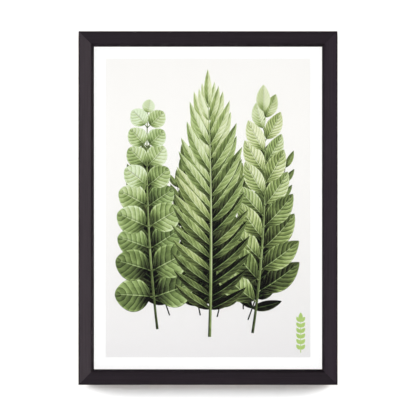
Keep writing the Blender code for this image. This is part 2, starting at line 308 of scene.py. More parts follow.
# Object-space distances from a rail's outer edge and from its sight edge.
def railDistances(tree, place, side):
    low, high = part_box(f"rail_{side}")
    spots = addNode(tree, "ShaderNodeSeparateXYZ", {"Vector": place}).outputs
    along, outer, sight = {
        "top": ("Z", high.z, low.z), "bottom": ("Z", low.z, high.z),
        "left": ("X", low.x, high.x), "right": ("X", high.x, low.x),
    }[side]
    return [
        calc(tree, "ABSOLUTE", calc(tree, "SUBTRACT", spots[along], edge))
        for edge in (outer, sight)
    ]


def makeStainAndPaintedShade(side):
    material, tree, shader, place = newMaterial(
        f"blackStainAndPaintedShade.{side}", Specular_IOR_Level=stainAndPaintedShade["gloss"],
    )
    lengthwise = stainAndPaintedShade["along"][side]
    scale = (stainAndPaintedShade["stretch"], 1, 1) if lengthwise == "x" else (1, 1, stainAndPaintedShade["stretch"])
    shift = 0.37 * (1 + sides.index(side))
    vector = stretched(tree, place, scale, (shift, shift, shift))
    grain = useGroup(tree, fineGrain, Vector=vector, Fineness=stainAndPaintedShade["streakScale"])
    change = stainAndPaintedShade["contrast"]
    streaks = remap(tree, grain["Streaks"], *noiseSpan, 1 - change, 1 + change)
    drift = remap(tree, grain["Drift"], *noiseSpan, 1 - stainAndPaintedShade["drift"], 1 + stainAndPaintedShade["drift"])
    fromOuter, fromSight = railDistances(tree, place, side)
    # painted shade: the face darkens towards the sight edge; the grain streaks and drift are the
    # wood's own
    paintedRollMask = remap(tree, fromSight, 0.0, stainAndPaintedShade["rollWidth"], stainAndPaintedShade["paintedRollShade"][side], 1.0,
                 smooth=True)
    grainAndPaintedShade = calc(tree, "MULTIPLY", calc(tree, "MULTIPLY", streaks, drift), paintedRollMask)
    # the rail's tone, partly the stain's own near-black and partly painted light that differs from
    # rail to rail
    tone = addNode(tree, "ShaderNodeVectorMath", {0: stainAndPaintedShade["tone"][side]}, operation="SCALE")
    plug(tree, tone.inputs["Scale"], grainAndPaintedShade)
    normal = addNode(tree, "ShaderNodeTexCoord").outputs["Normal"]
    wear = useGroup(tree, edgeWear, Vector=place, Normal=normal, Scale=260.0)["Wear"]
    worn = calc(tree, "MULTIPLY", wear, stainAndPaintedShade["wornShare"])
    color = blendColor(tree, worn, tone.outputs[0], stainAndPaintedShade["wornTone"])
    depth = addNode(tree, "ShaderNodeSeparateXYZ", {"Vector": place}).outputs["Y"]
    # painted shade: a near-black line along the outer front edge and the sight edge, which is also
    # made fully rough
    reach, edgeWidth, sightWidth = stainAndPaintedShade["lineDepth"], stainAndPaintedShade["paintedOuterShadeWidth"][side], stainAndPaintedShade["paintedSightShade"]
    atFront = remap(tree, depth, frontY + reach, frontY + 2 * reach, 1.0, 0.0)
    paintedOuterShade = remap(tree, fromOuter, edgeWidth / 2, edgeWidth, 1.0, 0.0)
    paintedSightShade = remap(tree, fromSight, sightWidth / 2, sightWidth, 1.0, 0.0)
    line = calc(tree, "MAXIMUM", calc(tree, "MULTIPLY", paintedOuterShade, atFront), paintedSightShade)
    plug(tree, shader.inputs["Base Color"], blendColor(tree, line, color, stainAndPaintedShade["paintedEdgeShadeTone"]))
    matt = remap(tree, grain["Streaks"], *noiseSpan, stainAndPaintedShade["roughness"] + 0.05,
                 stainAndPaintedShade["roughness"] - 0.05)
    plug(tree, shader.inputs["Roughness"], calc(tree, "MAXIMUM", matt, line))
    plug(tree, shader.inputs["Normal"], bump(tree, grain["Streaks"], stainAndPaintedShade["relief"], 0.00005))
    return material


rawWood = {
    "light": (0.56, 0.40, 0.23),
    "dark": (0.40, 0.26, 0.13),
    "overspray": (0.035, 0.029, 0.032),
    "glueLine": (0.16, 0.095, 0.045),
    "streakScale": 1100.0,
    "stretch": 0.02,
    "roughness": 0.78,
    "relief": 0.35,
    "oversprayReach": 0.0032,
    "glueWidth": 0.0006,
    "glueShade": 0.75,
}


# The unfinished back of the moulding, with stain that ran over from its edge.
def makeRawWood(side):
    material, tree, shader, place = newMaterial(
        f"rawPine.{side}", Roughness=rawWood["roughness"],
    )
    lengthwise = stainAndPaintedShade["along"][side]
    scale = (rawWood["stretch"], 1, 1) if lengthwise == "x" else (1, 1, rawWood["stretch"])
    shift = 0.53 * (1 + sides.index(side))
    vector = stretched(tree, place, scale, (shift, shift, shift))
    grain = useGroup(tree, fineGrain, Vector=vector, Fineness=rawWood["streakScale"])
    figure = calc(tree, "MULTIPLY_ADD", grain["Drift"], 0.6,
                  calc(tree, "MULTIPLY", grain["Streaks"], 0.4))
    wood = ramp(tree, figure, [(0.36, rawWood["dark"]), (0.62, rawWood["light"])])
    inFromEdge, _ = railDistances(tree, place, side)
    ragged = calc(tree, "MULTIPLY", noise(tree, place, 60.0), rawWood["oversprayReach"])
    covered = remap(tree, calc(tree, "SUBTRACT", inFromEdge, ragged), -0.0010, 0.0005, 1.0, 0.0)
    edgeDistances = [railDistances(tree, place, each)[0] for each in sides]
    nearZ = calc(tree, "MINIMUM", edgeDistances[0], edgeDistances[1])
    nearX = calc(tree, "MINIMUM", edgeDistances[2], edgeDistances[3])
    fromMitre = calc(tree, "ABSOLUTE", calc(tree, "SUBTRACT", nearX, nearZ))
    glue = remap(tree, fromMitre, rawWood["glueWidth"] / 3, rawWood["glueWidth"],
                 rawWood["glueShade"], 0.0)
    wood = blendColor(tree, glue, wood, rawWood["glueLine"])
    plug(tree, shader.inputs["Base Color"], blendColor(tree, covered, wood, rawWood["overspray"]))
    plug(tree, shader.inputs["Normal"], bump(tree, grain["Streaks"], rawWood["relief"], 0.0001))
    return material


# The four rails: the CAD solids' own shape, joined, with tight glued mitres
rail = {
    "mitreGap": 0.00004,
    "cadGap": 0.0003,
    "onMitre": 0.00002,
    "backSkin": 0.0002,
    "rebateInset": 0.0161,
    "rebateDepth": 0.009,
    "smoothAngle": 40,
    "broadFace": 0.0005,
}


def makeRail(side):
    node = f"rail_{side}"
    low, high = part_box(node)
    work = copyOfNode(node)
    lengthwise = 0 if stainAndPaintedShade["along"][side] == "x" else 2
    across = 2 - lengthwise
    outerEdge = backHigh[across] if side in ("top", "right") else frontLow[across]
    ends = (frontLow[lengthwise], backHigh[lengthwise])
    grow = (rail["cadGap"] - rail["mitreGap"]) / math.sqrt(2)
    for end, way in zip(ends, (-1, 1)):
        onMitre = [
            vert for vert in work.verts
            if abs(abs(vert.co[lengthwise] - end) - abs(vert.co[across] - outerEdge)
                   - rail["cadGap"] / math.sqrt(2)) < rail["onMitre"]
        ]
        shift = Vector((0, 0, 0))
        shift[lengthwise] = way * grow
        bmesh.ops.translate(work, vec=shift, verts=onMitre)
    backY = high.y
    for face in work.faces:
        middle = face.calc_center_median()
        onBack = face.normal.y > 0.9 and middle.y > backY - rail["backSkin"]
        inRebate = (abs(middle[across] - outerEdge) > rail["rebateInset"]
                    and middle.y > backY - rail["rebateDepth"])
        face.material_index = 1 if onBack or inRebate else 0
    piece = finishMesh(work, f"moulding{side.capitalize()}", rail["smoothAngle"], rail["broadFace"])
    dress(piece, "frame", "black_moulding", makeStainAndPaintedShade(side), makeRawWood(side))
    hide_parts(node)


for side in sides:
    makeRail(side)
print("rails made")


# Glazing
def makeGlass():
    material, tree, shader, _ = newMaterial(
        "clearGlazing", Base_Color=(0.99, 0.994, 0.992, 1), Roughness=0.0, IOR=1.47,
        Transmission_Weight=1.0,
    )
    clear = addNode(tree, "ShaderNodeBsdfTransparent")
    path = addNode(tree, "ShaderNodeLightPath")
    either = addNode(tree, "ShaderNodeMixShader")
    tree.links.new(path.outputs["Is Shadow Ray"], either.inputs[0])
    tree.links.new(shader.outputs[0], either.inputs[1])
    tree.links.new(clear.outputs[0], either.inputs[2])
    tree.links.new(either.outputs[0], tree.nodes["Material Output"].inputs["Surface"])
    return material


glazing = frame["nodes"]["glazing"]
glazing.data.materials.clear()
glazing.data.materials.append(makeGlass())
print("glazing made")


# The printed sheet: white margin, and a panel whose tint deepens to the lower right
sheet = {
    "panelHalfWidth": 0.1334,
    "panelHalfHeight": 0.1946,
    "margin": (0.915, 0.915, 0.915),
    "warmTint": (0.873, 0.860, 0.841),
    "coolTint": (0.873, 0.857, 0.863),
    "tintPower": 3.0,
    "fall": -0.125,
    "fallPower": 2.2,
    "head": -0.026,
    "headReach": 0.25,
    "lean": -0.004,
    "leanBelow": -0.037,
    "edgeSoftness": 0.0005,
    "roughness": 0.70,
    "gloss": 0.0,
}


def makePaper():
    material, tree, shader, place = newMaterial("posterPaper", Roughness=sheet["roughness"],
                                                Specular_IOR_Level=sheet["gloss"])
    spots = addNode(tree, "ShaderNodeSeparateXYZ", {"Vector": place}).outputs
    fromLeft = calc(tree, "SUBTRACT", spots["X"], centreX)
    fromMiddle = calc(tree, "SUBTRACT", spots["Z"], centreZ)
    right = remap(tree, fromLeft, -sheet["panelHalfWidth"], sheet["panelHalfWidth"])
    down = remap(tree, fromMiddle, sheet["panelHalfHeight"], -sheet["panelHalfHeight"])
    fall = calc(tree, "MULTIPLY", calc(tree, "POWER", down, sheet["fallPower"]), sheet["fall"])
    head = remap(tree, down, 0.0, sheet["headReach"], sheet["head"], 0.0)
    lean = calc(tree, "MULTIPLY", right,
                calc(tree, "MULTIPLY_ADD", down, sheet["leanBelow"], sheet["lean"]))
    light = calc(tree, "ADD", calc(tree, "ADD", fall, lean), calc(tree, "ADD", head, 1.0))
    tint = blendColor(tree, calc(tree, "POWER", down, sheet["tintPower"]), sheet["warmTint"],
                      sheet["coolTint"])
    panel = addNode(tree, "ShaderNodeVectorMath", {0: tint}, operation="SCALE")
    plug(tree, panel.inputs["Scale"], light)
    soft = sheet["edgeSoftness"]
    insideX = remap(tree, calc(tree, "ABSOLUTE", fromLeft), sheet["panelHalfWidth"] + soft,
                    sheet["panelHalfWidth"] - soft)
    insideZ = remap(tree, calc(tree, "ABSOLUTE", fromMiddle), sheet["panelHalfHeight"] + soft,
                    sheet["panelHalfHeight"] - soft)
    inside = calc(tree, "MULTIPLY", insideX, insideZ)
    color = blendColor(tree, inside, sheet["margin"], panel.outputs[0])
    plug(tree, shader.inputs["Base Color"], color)
    plug(tree, shader.inputs["Normal"], bump(tree, noise(tree, place, 2600.0, 3.0), 0.12, 0.00002))
    return material


paper = frame["nodes"]["print_sheet"]
paper.data.materials.clear()
paper.data.materials.append(makePaper())
print("paper made")


# The printed plate: leaves as flat ink shapes, each with its own veins and folds
leafShade = {
    "wobble": 0.5,
    "veinEdge": 0.41,
    "veinDark": -1.3,
    "rootDark": -0.34,
    "rootReach": 0.34,
    "rim": 0.15,
    "outline": -0.30,
    "bowl": 0.07,
    "cloud": 0.36,
    "strokes": 0.24,
    "tones": [
        (0.05, (0.0015, 0.0015, 0.001)),
        (0.18, (0.029, 0.033, 0.014)),
        (0.33, (0.080, 0.106, 0.035)),
        (0.48, (0.182, 0.239, 0.072)),
        (0.62, (0.350, 0.434, 0.156)),
        (0.76, (0.557, 0.613, 0.321)),
        (0.92, (0.740, 0.770, 0.540)),
    ],
    "cool": (0.90, 1.0, 1.08),
    "besideRib": (0.02, 0.04, 0.012),
    "besideShare": 0.60,
    "ribTones": [
        (0.15, (0.05, 0.09, 0.03)),
        (0.55, (0.34, 0.46, 0.16)),
        (0.95, (0.72, 0.78, 0.50)),
    ],
    "ribLift": 0.24,
    "ribCover": 0.85,
}


# Noise that lightens and darkens by up to half the amount.
def mottle(tree, grain, amount):
    return calc(tree, "MULTIPLY_ADD", grain, amount, -amount / 2)


# Shades one printed leaf from its own coordinates: X across the blade, Y along it.
def makeLeafInk():
    group, given, out = newGroup(
        "leafInk",
        [("Leaf", "NodeSocketVector", None), ("Place", "NodeSocketVector", None),
         ("Tone", "NodeSocketFloat", 0.5), ("Warmth", "NodeSocketFloat", 0.5),
         ("Vein Count", "NodeSocketFloat", 8.0), ("Vein Slant", "NodeSocketFloat", 1.3),
         ("Vein Depth", "NodeSocketFloat", 0.2), ("Fold", "NodeSocketFloat", 0.15),
         ("Rib Width", "NodeSocketFloat", 0.05)],
        [("Color", "NodeSocketColor")],
    )
    spots = addNode(group, "ShaderNodeSeparateXYZ", {"Vector": given["Leaf"]}).outputs
    across = calc(group, "MULTIPLY_ADD", spots["X"], 2.0, -1.0)
    along = spots["Y"]
    fromRib = calc(group, "ABSOLUTE", across)
    rightHalf = calc(group, "GREATER_THAN", across, 0.0)
    fold = calc(group, "MULTIPLY", calc(group, "SUBTRACT", rightHalf, 0.5), given["Fold"])
    order = calc(group, "SUBTRACT", calc(group, "MULTIPLY", along, given["Vein Count"]),
                 calc(group, "MULTIPLY", calc(group, "POWER", fromRib, 1.25), given["Vein Slant"]))
    wobble = mottle(group, noise(group, given["Place"], 160.0, 2.0), leafShade["wobble"])
    step = calc(group, "FRACT", calc(group, "ADD", calc(group, "ADD", order, wobble), 10.0))
    pleat = calc(group, "MULTIPLY", calc(group, "SUBTRACT", step, 0.5), given["Vein Depth"])
    toVein = calc(group, "ABSOLUTE", calc(group, "SUBTRACT", step, 0.5))
    veinLine = remap(group, toVein, leafShade["veinEdge"], 0.5, smooth=True)
    veinDark = calc(group, "MULTIPLY", calc(group, "MULTIPLY", veinLine, given["Vein Depth"]),
                    leafShade["veinDark"])
    root = remap(group, along, 0.0, leafShade["rootReach"], leafShade["rootDark"], 0.0)
    paleRim = calc(group, "MULTIPLY", remap(group, fromRib, 0.84, 0.92), leafShade["rim"])
    outline = calc(group, "MULTIPLY", remap(group, fromRib, 0.955, 1.0), leafShade["outline"])
    bowl = calc(group, "MULTIPLY", calc(group, "SUBTRACT", fromRib, 0.5), leafShade["bowl"])
    cloud = mottle(group, noise(group, given["Place"], 75.0), leafShade["cloud"])
    strokeVector = stretched(group, given["Leaf"], (46.0, 5.0, 1.0))
    strokes = mottle(group, noise(group, strokeVector, 1.0, 3.0, 0.7), leafShade["strokes"])
    tone = given["Tone"]
    for part in (fold, pleat, veinDark, root, paleRim, outline, bowl, cloud, strokes):
        tone = calc(group, "ADD", tone, part)
    color = ramp(group, tone, leafShade["tones"])
    cool = blendColor(group, 1.0, color, leafShade["cool"], "MULTIPLY")
    color = blendColor(group, calc(group, "SUBTRACT", 1.0, given["Warmth"]), color, cool)
    taper = calc(group, "MULTIPLY", given["Rib Width"],
                 calc(group, "MULTIPLY_ADD", along, -0.6, 1.0))
    onRib = calc(group, "LESS_THAN", fromRib, taper)
    besideRib = calc(group, "MULTIPLY", remap(group, across, 0.0, 0.18, 1.0, 0.0),
                     calc(group, "MULTIPLY", rightHalf, leafShade["besideShare"]))
    color = blendColor(group, besideRib, color, leafShade["besideRib"])
    ribColor = ramp(group, calc(group, "ADD", tone, leafShade["ribLift"]), leafShade["ribTones"])
    color = blendColor(group, calc(group, "MULTIPLY", onRib, leafShade["ribCover"]), color,
                       ribColor)
    plug(group, out["Color"], color)
    return group


leafInk = makeLeafInk()


def makeInkMaterial(name, **look):
    material, tree, shader, place = newMaterial(name, Roughness=sheet["roughness"],
                                                Specular_IOR_Level=sheet["gloss"])
    leafMap = addNode(tree, "ShaderNodeUVMap", uv_map="leaf").outputs[0]
    ink = addNode(tree, "ShaderNodeAttribute", attribute_name="ink", attribute_type="GEOMETRY")
    parts = addNode(tree, "ShaderNodeSeparateColor", {"Color": ink.outputs["Color"]}).outputs
    shaded = useGroup(tree, leafInk, Leaf=leafMap, Place=place, Tone=parts[0], Warmth=parts[1],
                      **look)
    plug(tree, shader.inputs["Base Color"], shaded["Color"])
    return material


plate = {"lowestLayer": 0.00003, "layerStep": 0.00002, "layersEach": 5}


# One printed piece: flat shapes laid just above the paper.
class Ink:
    def __init__(self, band):
        self.band = band
        self.work = bmesh.new()
        self.leafMap = self.work.loops.layers.uv.new("leaf")
        self.ink = self.work.loops.layers.float_color.new("ink")
        self.count = 0

    # A strip along a centreline, which gives a point and a heading at each place.
    def lay(self, centreline, halfWidth, tone, warmth, columns, rows, layer=None):
        grid = bmesh.ops.create_grid(self.work, x_segments=columns, y_segments=rows, size=1.0)
        if layer is None:
            layer = 1 + self.count % (plate["layersEach"] - 1)
            self.count += 1
        layer += self.band * plate["layersEach"]
        depth = paperY - plate["lowestLayer"] - layer * plate["layerStep"]
        faces = {face for vert in grid["verts"] for face in vert.link_faces}
        for face in faces:
            for loop in face.loops:
                across, along = loop.vert.co.x, self.spread(loop.vert.co.y)
                loop[self.leafMap].uv = (0.5 + across / 2, along)
                loop[self.ink] = (tone, warmth, 0.0, 1.0)
        for vert in grid["verts"]:
            across, along = vert.co.x, self.spread(vert.co.y)
            (x, z), heading = centreline(along)
            reach = halfWidth(along) * across
            vert.co = (centreX + x + reach * math.cos(heading), depth,
                       centreZ + z - reach * math.sin(heading))
        for face in faces:
            face.normal_update()
        bmesh.ops.reverse_faces(self.work, faces=[f for f in faces if f.normal.y > 0])

    # Rows crowd towards both ends, where an outline turns fastest.
    @staticmethod
    def spread(height):
        return 0.5 - 0.5 * math.cos(math.pi * (height + 1) / 2)


# A centreline from root: heading is clockwise from straight up, bend is its whole turn.
def arcLine(root, heading, length, bend):
    def at(along):
        if abs(bend) < 0.001:
            way = (math.sin(heading) * length * along, math.cos(heading) * length * along)
        else:
            radius = length / bend
            way = (-radius * (math.cos(heading + bend * along) - math.cos(heading)),
                   radius * (math.sin(heading + bend * along) - math.sin(heading)))
        return (root[0] + way[0], root[1] + way[1]), heading + bend * along
    return at


# Half the width of a blade: peak is where it is widest, fullness rounds its ends.
def bladeWidth(width, peak, fullness, least=0.00008):
    power = math.log(0.5) / math.log(peak)

    def at(along):
        swell = max(math.sin(math.pi * along ** power), 0.0) ** fullness
        return max(width / 2 * swell, least)
    return at


def stalkWidth(thick, thin):
    return lambda along: thick / 2 + (thin / 2 - thick / 2) * along


def layLeaf(ink, root, heading, leaf, size, tone, warmth, bend):
    line = arcLine(root, heading, leaf["length"] * size, bend)
    width = bladeWidth(leaf["width"] * size, leaf["peak"], leaf["fullness"])
    ink.lay(line, width, tone, warmth, leaf["columns"], leaf["rows"])


def layStalk(ink, root, heading, length, bend, thick, thin, tone, layer=0):
    line = arcLine(root, heading, length, bend)
    ink.lay(line, stalkWidth(thick, thin), tone, 0.6, 4, 24, layer)
    return line


coinStem = {
    "foot": (-0.066, -0.158), "heading": -0.12, "length": 0.283, "bend": 0.15,
    "thick": 0.0034, "thin": 0.0011,
    "pairs": 9, "first": 0.15, "last": 0.93, "spread": (1.35, 0.70), "stalk": 0.005,
    "size": (1.0, 0.50), "tones": (0.40, 0.83),
    "leaf": {"length": 0.048, "width": 0.046, "peak": 0.46, "fullness": 0.56,
             "columns": 8, "rows": 16},
    "seed": 11,
}

longStem = {
    "foot": (0.002, -0.168), "heading": 0.03, "length": 0.303, "bend": -0.07,
    "thick": 0.0042, "thin": 0.0010,
    "pairs": 17, "first": 0.12, "last": 0.985, "spread": (1.15, 0.42), "tones": (0.22, 0.82),
    "leaf": {"length": 0.074, "width": 0.0165, "peak": 0.40, "fullness": 0.85,
             "columns": 4, "rows": 14},
    "seed": 5,
}

bayStem = {
    "foot": (0.058, -0.163), "heading": 0.15, "length": 0.290, "bend": -0.20,
    "thick": 0.0036, "thin": 0.0012,
    "leaves": 18, "first": 0.14, "last": 0.96, "spread": (1.0, 0.45), "stalk": 0.004,
    "size": (1.0, 0.55), "tones": (0.38, 0.82),
    "leaf": {"length": 0.063, "width": 0.033, "peak": 0.45, "fullness": 0.80,
             "columns": 8, "rows": 18},
    "seed": 23,
}

# dark sprays behind the stems: foot, heading, length and bend of each
shadeSprays = {
    "behind": [(coinStem, 0.15, 0.80), (longStem, 0.15, 0.86), (bayStem, 0.16, 0.80)],
    "pairsBehind": 24,
    "smallLeaf": {"length": 0.030, "width": 0.0150, "peak": 0.42, "fullness": 0.60,
                  "columns": 4, "rows": 8},
    "smallSizes": (1.0, 0.55), "smallTones": (0.00, 0.28),
    "stems": [
        ((-0.050, -0.140), -0.34, 0.200, 0.20), ((-0.044, -0.128), 0.05, 0.190, 0.05),
        ((0.046, -0.132), -0.03, 0.185, -0.05), ((0.052, -0.146), 0.36, 0.205, -0.24),
        ((-0.010, -0.140), -0.20, 0.170, 0.05), ((0.012, -0.142), 0.22, 0.175, -0.05),
    ],
    "pairs": 10, "spread": (1.05, 0.45), "sizes": (1.0, 0.6), "tones": (0.00, 0.40),
    "leaf": {"length": 0.040, "width": 0.0135, "peak": 0.44, "fullness": 0.80,
             "columns": 4, "rows": 10},
    "seed": 31,
}


def between(pair, share):
    return pair[0] + (pair[1] - pair[0]) * share


# Round leaves in pairs, smaller towards the tip.
def makeCoinStem():
    chance = random.Random(coinStem["seed"])
    ink = Ink(1)
    line = layStalk(ink, coinStem["foot"], coinStem["heading"], coinStem["length"],
                    coinStem["bend"], coinStem["thick"], coinStem["thin"], 0.50)
    for number in range(coinStem["pairs"]):
        share = number / (coinStem["pairs"] - 1)
        root, heading = line(between((coinStem["first"], coinStem["last"]), share ** 0.9))
        for way in (-1, 1) if number % 2 else (1, -1):
            sweep = between(coinStem["spread"], share) + chance.uniform(-0.12, 0.12)
            turn = heading + way * sweep
            stalk = layStalk(ink, root, turn, coinStem["stalk"], 0.0, 0.0014, 0.0010, 0.45, 1)
            size = between(coinStem["size"], share) * chance.uniform(0.94, 1.06)
            tone = between(coinStem["tones"], share) + chance.uniform(-0.10, 0.10) - 0.05 * way
            layLeaf(ink, stalk(1.0)[0], turn, coinStem["leaf"], size, tone,
                    chance.uniform(0.2, 0.5), way * chance.uniform(-0.15, 0.15))
    top, heading = line(1.0)
    layLeaf(ink, top, heading + 0.1, coinStem["leaf"], 0.36, 0.88, 0.4, 0.1)
    return ink


# A feathered frond: narrow leaves in pairs, longest at the middle.
def makeLongStem():
    chance = random.Random(longStem["seed"])
    ink = Ink(2)
    line = layStalk(ink, longStem["foot"], longStem["heading"], longStem["length"],
                    longStem["bend"], longStem["thick"], longStem["thin"], 0.62,
                    plate["layersEach"])
    for number in range(longStem["pairs"]):
        share = number / (longStem["pairs"] - 1)
        root, heading = line(between((longStem["first"], longStem["last"]), share))
        size = 0.52 + 0.48 * math.sin(math.pi * (0.16 + 0.72 * share))
        if share > 0.85:
            size *= 1 - (share - 0.85) * 2.2
        for way in (-1, 1):
            sweep = between(longStem["spread"], share) + chance.uniform(-0.04, 0.04)
            turn = heading + way * sweep
            tone = between(longStem["tones"], share) + chance.uniform(-0.08, 0.08) - 0.07 * way
            layLeaf(ink, root, turn, longStem["leaf"], size * chance.uniform(0.95, 1.04), tone,
                    chance.uniform(0.6, 1.0), -way * chance.uniform(0.25, 0.42))
    top, heading = line(1.0)
    layLeaf(ink, top, heading, longStem["leaf"], 0.62, 0.75, 0.9, 0.05)
    return ink


# Broad pointed leaves set singly by turns.
def makeBayStem():
    chance = random.Random(bayStem["seed"])
    ink = Ink(1)
    line = layStalk(ink, bayStem["foot"], bayStem["heading"], bayStem["length"],
                    bayStem["bend"], bayStem["thick"], bayStem["thin"], 0.48)
    for number in range(bayStem["leaves"]):
        share = number / (bayStem["leaves"] - 1)
        root, heading = line(between((bayStem["first"], bayStem["last"]), share))
        way = 1 if number % 2 else -1
        sweep = between(bayStem["spread"], share) + chance.uniform(-0.10, 0.10)
        turn = heading + way * sweep
        stalk = layStalk(ink, root, turn, bayStem["stalk"], 0.0, 0.0018, 0.0012, 0.5, 1)
        size = between(bayStem["size"], share ** 1.2) * chance.uniform(0.93, 1.07)
        tone = between(bayStem["tones"], share) + chance.uniform(-0.10, 0.10) - 0.05 * way
        layLeaf(ink, stalk(1.0)[0], turn, bayStem["leaf"], size, tone,
                chance.uniform(0.6, 1.0), -way * chance.uniform(0.1, 0.4))
    top, heading = line(1.0)
    layLeaf(ink, top, heading, bayStem["leaf"], 0.55, 0.86, 0.8, 0.1)
    return ink


# Small dark leaves that fill the depth behind the stems
def makeShadeSprays():
    chance = random.Random(shadeSprays["seed"])
    ink = Ink(0)

    def layPairs(line, count, first, last, leaf, sizes, tones):
        for number in range(count):
            share = number / (count - 1)
            root, way = line(between((first, last), share))
            for side in (-1, 1):
                sweep = between(shadeSprays["spread"], share) + chance.uniform(-0.15, 0.15)
                tone = between(tones, share) + chance.uniform(-0.05, 0.08)
                size = between(sizes, share) * chance.uniform(0.85, 1.1)
                layLeaf(ink, root, way + side * sweep, leaf, size, tone,
                        chance.uniform(0.5, 1.0), -side * 0.25)

    for stem, first, last in shadeSprays["behind"]:
        line = arcLine(stem["foot"], stem["heading"], stem["length"], stem["bend"])
        layPairs(line, shadeSprays["pairsBehind"], first, last, shadeSprays["smallLeaf"],
                 shadeSprays["smallSizes"], shadeSprays["smallTones"])
    for foot, heading, length, bend in shadeSprays["stems"]:
        line = layStalk(ink, foot, heading, length, bend, 0.0018, 0.0008, 0.18)
        layPairs(line, shadeSprays["pairs"], 0.08, 1.0, shadeSprays["leaf"],
                 shadeSprays["sizes"], shadeSprays["tones"])
    return ink


inks = {
    "grainAndPaintedShade": makeInkMaterial("inkShadeLeaves", Vein_Count=0.0, Vein_Slant=1.5, Vein_Depth=0.08,
                             Fold=0.14, Rib_Width=0.06),
    "coin": makeInkMaterial("inkCoinLeaves", Vein_Count=6.0, Vein_Slant=1.7, Vein_Depth=0.22,
                            Fold=0.13, Rib_Width=0.035),
    "long": makeInkMaterial("inkLongLeaves", Vein_Count=7.0, Vein_Slant=1.6, Vein_Depth=0.16,
                            Fold=0.26, Rib_Width=0.09),
    "bay": makeInkMaterial("inkBayLeaves", Vein_Count=8.0, Vein_Slant=2.2, Vein_Depth=0.30,
                           Fold=0.18, Rib_Width=0.045),
}

for name, ink, material in (
    ("printShadeSprays", makeShadeSprays(), inks["grainAndPaintedShade"]),
    ("printCoinStem", makeCoinStem(), inks["coin"]),
    ("printLongStem", makeLongStem(), inks["long"]),
    ("printBayStem", makeBayStem(), inks["bay"]),
):
    dress(finishMesh(ink.work, name), "frame", "poster_paper", material)


# The small green ornament at the lower right, in one flat tone
ornament = {
    "x": 0.1208, "low": -0.1885, "high": -0.1361, "pairs": 6,
    "leaf": {"length": 0.0083, "width": 0.0050, "peak": 0.42, "fullness": 0.80,
             "columns": 4, "rows": 12},
    "heading": 0.88, "bend": -0.25,
    "color": (0.390, 0.535, 0.165),
}


def makeOrnament():
    ink = Ink(2)
    height = ornament["high"] - ornament["low"]
    foot = (ornament["x"], ornament["low"])
    line = layStalk(ink, foot, 0.0, height * 0.86, 0.0, 0.0012, 0.0007, 0.8)
    for number in range(ornament["pairs"]):
        root = line(0.10 + 0.80 * number / (ornament["pairs"] - 1))[0]
        for way in (-1, 1):
            layLeaf(ink, root, way * ornament["heading"], ornament["leaf"], 1.0, 0.8, 0.8,
                    way * ornament["bend"])
    layLeaf(ink, line(0.96)[0], 0.0, ornament["leaf"], 1.1, 0.8, 0.8, 0.0)
    material, tree, shader, place = newMaterial("inkOrnament", Roughness=sheet["roughness"],
                                                Specular_IOR_Level=sheet["gloss"])
    patchy = remap(tree, noise(tree, place, 420.0), *noiseSpan, 0.93, 1.07)
    tone = addNode(tree, "ShaderNodeVectorMath", {0: ornament["color"]}, operation="SCALE")
    plug(tree, tone.inputs["Scale"], patchy)
    plug(tree, shader.inputs["Base Color"], tone.outputs[0])
    dress(finishMesh(ink.work, "printOrnament"), "frame", "poster_paper", material)


makeOrnament()
print("plate printed")


# Hardboard back and grey filler card
board = {
    "smooth": (0.165, 0.088, 0.044),
    "patchLift": 1.28,
    "fibre": (0.33, 0.205, 0.115),
    "dark": (0.060, 0.031, 0.016),
    "meshPitch": 0.0016,
    "meshShade": 0.22,
}
card = {"pale": (0.45, 0.44, 0.41), "fleck": (0.27, 0.26, 0.24)}


# Pressed fibre: a mottled brown, pale and dark flecks, and the press's fine mesh.
def makeHardboard():
    material, tree, shader, place = newMaterial("hardboard", Roughness=0.66)
    cloud = remap(tree, noise(tree, place, 28.0, 4.0, 0.6), *noiseSpan)
    patch = [part * board["patchLift"] for part in board["smooth"]]
    base = blendColor(tree, cloud, board["smooth"], patch)
    fibreVector = stretched(tree, place, (1.0, 1.0, 0.22), rotation=(0.0, 0.5, 0.0))
    pale = useGroup(tree, speckle, Vector=fibreVector, Scale=1500.0, Amount=0.62)["Flecks"]
    darkVector = stretched(tree, place, (0.3, 1.0, 1.0), (0.4, 0.1, 0.7), (0.0, -0.4, 0.0))
    dark = useGroup(tree, speckle, Vector=darkVector, Scale=1250.0, Amount=0.66)["Flecks"]
    color = blendColor(tree, calc(tree, "MULTIPLY", pale, 0.55), base, board["fibre"])
    color = blendColor(tree, calc(tree, "MULTIPLY", dark, 0.6), color, board["dark"])
    spots = addNode(tree, "ShaderNodeSeparateXYZ", {"Vector": place}).outputs
    weave = [
        calc(tree, "SINE", calc(tree, "MULTIPLY", spots[axis], 2 * math.pi / board["meshPitch"]))
        for axis in ("X", "Z")
    ]
    mesh = calc(tree, "MULTIPLY", weave[0], weave[1])
    shaded = blendColor(tree, remap(tree, mesh, -1.0, 1.0, 0.0, board["meshShade"]), color,
                        board["dark"])
    plug(tree, shader.inputs["Base Color"], shaded)
    height = calc(tree, "MULTIPLY_ADD", mesh, 0.5, noise(tree, fibreVector, 1500.0, 3.0))
    plug(tree, shader.inputs["Normal"], bump(tree, height, 0.4, 0.0001))
    return material


def makeGreyCard():
    material, tree, shader, place = newMaterial("greyCard", Roughness=0.9)
    flecks = useGroup(tree, speckle, Vector=place, Scale=1400.0, Amount=0.6)["Flecks"]
    color = blendColor(tree, flecks, card["pale"], card["fleck"])
    plug(tree, shader.inputs["Base Color"], color)
    plug(tree, shader.inputs["Normal"], bump(tree, noise(tree, place, 900.0), 0.3, 0.00008))
    return material


for node, material in (("backing_board", makeHardboard()), ("filler_card", makeGreyCard())):
    frame["nodes"][node].data.materials.clear()
    frame["nodes"][node].data.materials.append(material)


